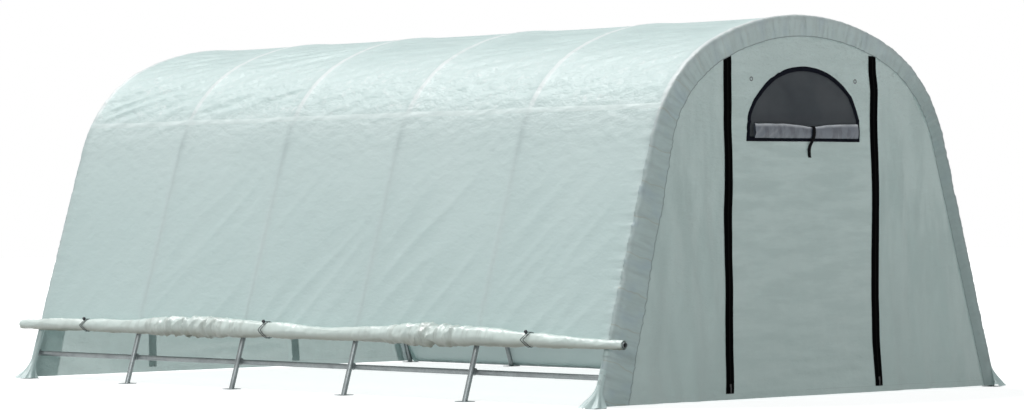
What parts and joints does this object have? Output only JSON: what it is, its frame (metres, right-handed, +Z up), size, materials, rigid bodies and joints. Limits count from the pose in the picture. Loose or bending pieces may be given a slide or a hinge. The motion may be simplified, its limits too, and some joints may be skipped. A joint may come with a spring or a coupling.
{
  "type": "polytunnel greenhouse",
  "caption": "Walk-in polytunnel greenhouse: round-topped steel tube frame, translucent fabric cover, zipped doors with half-moon screen windows, and a side wall rolled up for air.",
  "frame": {"origin": "on the ground, at the middle of the plan", "axes": "+Z up; the front end wall faces -Y and the building runs along Y; +X is to the right seen from the front, so the rolled-up wall is at -X"},
  "size_m": [3.87, 6.49, 2.4398],
  "materials": {
    "frame_steel": "galvanised, dull",
    "cover_fabric": "translucent woven polyethylene, satin",
    "band_fabric": "translucent woven polyethylene, doubled",
    "end_fabric": "translucent woven polyethylene, matt",
    "zip_black": "woven tape with coil teeth",
    "strap_black": "woven webbing",
    "screen_mesh": "fine mesh",
    "grommet_metal": "pressed eyelet",
    "tie_rubber": "bungee cord with a ball"
  },
  "bodies": {
    "root": {"back_bow": "frame_steel", "back_door_panel": "end_fabric", "back_door_zips": "zip_black", "back_edge_band": "band_fabric", "back_left_panel": "end_fabric", "back_right_panel": "end_fabric", "back_window_binding": "strap_black", "back_window_flap": "cover_fabric", "back_window_grommets": "grommet_metal", "back_window_screen": "screen_mesh", "back_window_strap": "strap_black", "bow_2": "frame_steel", "bow_3": "frame_steel", "bow_4": "frame_steel", "bow_5": "frame_steel", "corner_tails": "cover_fabric", "front_bow": "frame_steel", "front_door_panel": "end_fabric", "front_door_zips": "zip_black", "front_edge_band": "band_fabric", "front_left_panel": "end_fabric", "front_right_panel": "end_fabric", "front_window_binding": "strap_black", "front_window_flap": "cover_fabric", "front_window_grommets": "grommet_metal", "front_window_screen": "screen_mesh", "front_window_strap": "strap_black", "left_base_rail": "frame_steel", "left_feet": "frame_steel", "left_legs": "frame_steel", "left_roll_ties": "tie_rubber", "left_roll_tube": "frame_steel", "left_rolled_wall": "cover_fabric", "left_seam_tape": "cover_fabric", "left_shoulder_rail": "frame_steel", "left_wall_sheet": "cover_fabric", "rail_saddles": "frame_steel", "ridge_rail": "frame_steel", "right_base_rail": "frame_steel", "right_feet": "frame_steel", "right_hem_pocket": "cover_fabric", "right_legs": "frame_steel", "right_roll_tube": "frame_steel", "right_seam_tape": "cover_fabric", "right_shoulder_rail": "frame_steel", "right_wall_sheet": "cover_fabric", "roof_sheet": "cover_fabric"}
  },
  "joints": []
}
